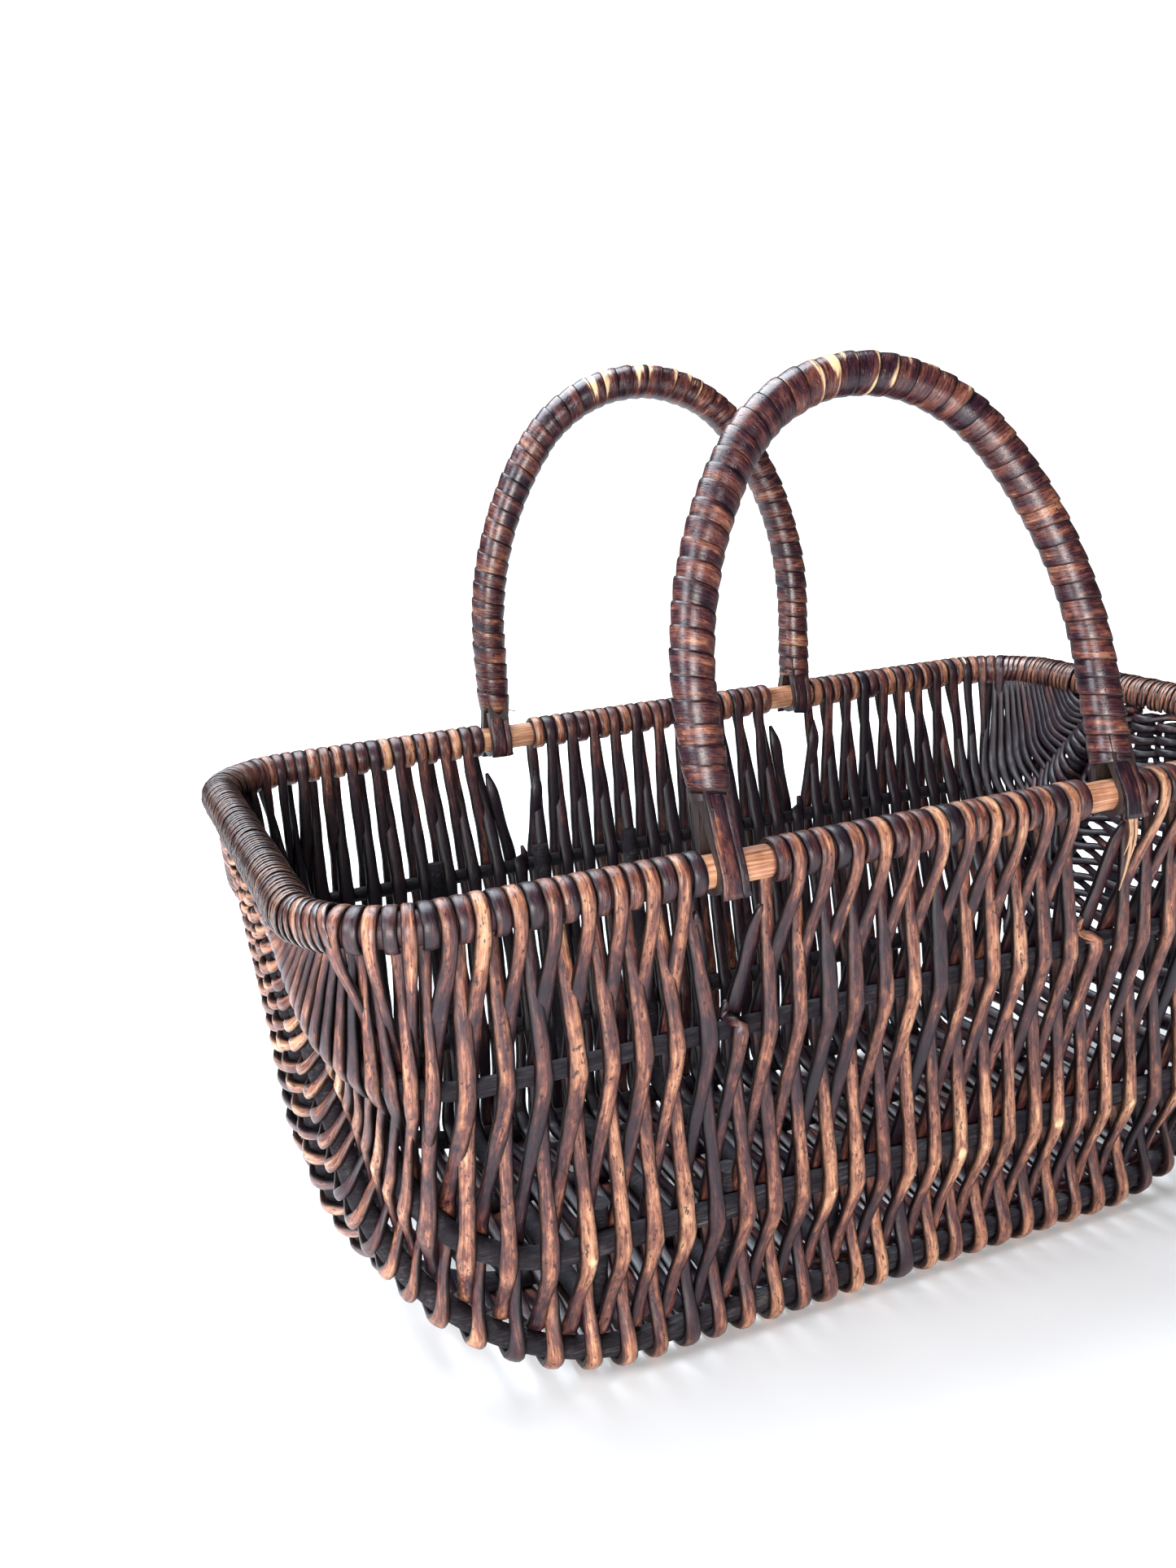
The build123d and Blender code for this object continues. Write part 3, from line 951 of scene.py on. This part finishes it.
def strap_rows(side, lean, hand, face, bare, fall, offset, width, tuck):
    """One strap's rows, from under the skein down past the rim to its cut end."""
    marks = [
        (5.0, bare + 9 * MM, 0.8),
        (7.6, bare + 1 * MM, 0.95),
        (10.6 - 1.4 * bare / (30 * MM), bare * 0.55, 1.0),
        (11.5, 3 * MM, 1.0),
        (11.9, -4 * MM, 1.0),
        (11.2, -0.8 * fall, 1.06),
        (10.9, -fall, 1.12),
    ]
    rows = []
    for out, height, swell in marks:
        x = hand * FOOT_X + offset * MM * swell + rng.uniform(-0.15, 0.15) * MM
        place = on_basket((x, face * (out - tuck) * MM, height), side, lean)
        facing = on_basket((x, face * (out + 5) * MM, height), side, lean) - place
        rows.append([*place, *unit(facing), width * MM * swell, 2.1 * MM, 0.3, 0.0])
    return rows


def foot_straps(wall, side, lean, left_start):
    """The handle's thinned ends: flat straps down both sides of the rim, cut off below it."""
    bundle = Bundle()
    profile = ring_profile(16, 5.0)
    for hand in (-1, 1):
        bare = left_start if hand < 0 else FOOT_BARE
        for face in (-1, 1):
            fall = rng.uniform(12.0, 13.5) * MM if face == side else rng.uniform(8, 10) * MM
            for offset, width, tuck in ((-1.9, 8.6, 0.0), (4.3, 3.6, 0.5)):
                rows = strap_rows(side, lean, hand, face, bare, fall, offset, width, tuck)
                bundle.add_line(smooth(rows, 2.0 * MM), rng.uniform(0.26, 0.34), profile)
    bundle.build(f"{wall}_foot_straps", STRAP, f"{wall}_handle", "handle_rod")


def fibres(name, material, body, slot, starts, ends, widths, sag):
    """A few torn fibres, each tapering from its root to its tip."""
    bundle = Bundle()
    for start, end, width in zip(starts, ends, widths):
        start, end = np.array(start), np.array(end)
        rows = []
        for step in range(6):
            t = step / 5
            place = start + (end - start) * t + np.array(sag) * math.sin(t * math.pi)
            size = width * (1 - 0.85 * t**1.5)
            rows.append([*place, *unit(np.array([0.15, -1.0, 0.1])), size, min(size, 0.9 * MM), 0.0, 0.0])
        bundle.add_line(smooth(rows, 2.0 * MM), rng.uniform(0.8, 0.95), ring_profile(8, 2.2))
    bundle.build(name, material, body, slot)


def torn_splint():
    """The pale splint torn from the right end of the front handle, under its strap."""
    top = (FOOT_X + 1 * MM, -RIM_Y - 9.5 * MM, RIM_Z - 9 * MM)
    roots = [(top[0] + shift * MM, top[1], top[2]) for shift in (0, 2, -2)]
    tips = [
        (FOOT_X - 4 * MM, -RIM_Y - 8 * MM, RIM_Z - 46 * MM),
        (FOOT_X - 1 * MM, -RIM_Y - 9 * MM, RIM_Z - 34 * MM),
        (FOOT_X - 4 * MM, -RIM_Y - 10 * MM, RIM_Z - 28 * MM),
    ]
    widths = [5.2 * MM, 3.2 * MM, 2.6 * MM]
    fibres("torn_splint", STRAW, "front_handle", "handle_rod", roots, tips, widths, (1.5 * MM, -1.0 * MM, 0))


def loose_hair():
    """A thin fibre that stands off the back handle's skein above its left foot."""
    root = (-FOOT_X + 6 * MM, RIM_Y - 8 * MM, RIM_Z + 19 * MM)
    tip = (root[0] + 13 * MM, root[1] - 3 * MM, root[2] - 2 * MM)
    fibres("loose_hair", SKEIN, "back_handle", "handle_skein", [root], [tip], [0.7 * MM], (0, 0, -0.8 * MM))


handle_skein("front", -1, FRONT_LEAN, FRONT_LEFT_BARE)
handle_skein("back", 1, 0.0, FOOT_BARE)
foot_straps("front", -1, FRONT_LEAN, FRONT_LEFT_BARE)
foot_straps("back", 1, 0.0, FOOT_BARE)
torn_splint()
loose_hair()


# ---- stage, light and camera --------------------------------------------------------------


def floor_material():
    """Pale, plain, faintly mottled paper, with a painted glow, seen only by the camera, that grows away from
    the basket.
    """
    material, tree, shader = new_material("paper_floor")
    place = node(tree, "ShaderNodeTexCoord").outputs["Object"]
    mottle = stretched_noise(tree, place, (3, 3, 3), 3, 0.5)
    colour = ramp(tree, mottle, [(0.3, (0.88, 0.885, 0.89)), (0.7, (0.91, 0.915, 0.92))])
    tree.links.new(colour, shader.inputs["Base Color"])
    shader.inputs["Roughness"].default_value = 0.8
    shader.inputs["Specular IOR Level"].default_value = 0.2
    # painted glow: emission for camera rays only, faint near the basket and full far from it
    away = node(tree, "ShaderNodeVectorMath", {0: place}, operation="LENGTH").outputs["Value"]
    reach = {"Value": away, "From Min": 0.35, "From Max": 1.3, "To Min": 0.06, "To Max": 1.1}
    glow = node(tree, "ShaderNodeMapRange", reach)
    seen = node(tree, "ShaderNodeLightPath").outputs["Is Camera Ray"]
    shader.inputs["Emission Color"].default_value = (1.0, 1.0, 1.0, 1.0)
    tree.links.new(math_node(tree, "MULTIPLY", glow.outputs[0], seen), shader.inputs["Emission Strength"])
    return material


def paper_floor():
    """A wide, flat floor."""
    mesh = bpy.data.meshes.new("paper_floor")
    size = 9.0
    corners = [(-size, -size, 0), (size, -size, 0), (size, size, 0), (-size, size, 0)]
    mesh.from_pydata(corners, [], [(0, 1, 2, 3)])
    mesh.materials.append(floor_material())
    made = bpy.data.objects.new("paper_floor", mesh)
    bpy.context.collection.objects.link(made)


def area_light(name, place, target, size, power, colour):
    """A soft square light aimed at a point."""
    data = bpy.data.lights.new(name, "AREA")
    data.shape = "SQUARE"
    data.size = size
    data.energy = power
    data.color = colour
    made = bpy.data.objects.new(name, data)
    made.location = place
    made.rotation_euler = (Vector(target) - Vector(place)).to_track_quat("-Z", "Y").to_euler()
    bpy.context.collection.objects.link(made)


def studio():
    """Surroundings that are white to the camera and dim otherwise, with lights above, in front and left."""
    world = bpy.data.worlds.new("studio")
    world.use_nodes = True
    background = world.node_tree.nodes["Background"]
    seen = node(world.node_tree, "ShaderNodeLightPath").outputs["Is Camera Ray"]
    strength = math_node(world.node_tree, "ADD", math_node(world.node_tree, "MULTIPLY", seen, 1.13), 0.07)
    world.node_tree.links.new(strength, background.inputs["Strength"])
    background.inputs["Color"].default_value = (0.97, 0.985, 1.0, 1.0)
    bpy.context.scene.world = world
    area_light("overhead", (-0.3, 0.6, 1.6), (0, 0, 0.15), 1.4, 66, (0.84, 0.92, 1.0))
    area_light("front", (-1.0, -2.0, 0.55), (0, 0, 0.1), 0.8, 66, (1.0, 0.96, 0.94))
    area_light("left", (-1.9, -0.4, 1.1), (-0.2, 0, 0.15), 0.7, 36, (0.86, 0.93, 1.0))
    bpy.context.scene.view_settings.view_transform = "Standard"


def camera():
    """The camera, aimed from the front left and above, turned a little about its view line."""
    place = Vector((-356.4, -643.1, 441.5)) * MM
    target = Vector((-105.6, 0.0, 260.0)) * MM
    roll = -0.062
    forward = (target - place).normalized()
    right = forward.cross(Vector((0, 0, 1))).normalized()
    up = right.cross(forward)
    turned_right = right * math.cos(roll) + up * math.sin(roll)
    turned_up = up * math.cos(roll) - right * math.sin(roll)
    data = bpy.data.cameras.new("camera")
    data.sensor_width = 36.0
    data.lens = 31.458
    data.clip_start = 0.02
    data.clip_end = 60.0
    made = bpy.data.objects.new("camera", data)
    bpy.context.collection.objects.link(made)
    matrix = made.matrix_world.copy()
    for row in range(3):
        matrix[row][0] = turned_right[row]
        matrix[row][1] = turned_up[row]
        matrix[row][2] = -forward[row]
        matrix[row][3] = place[row]
    made.matrix_world = matrix
    bpy.context.scene.camera = made


paper_floor()
studio()
camera()
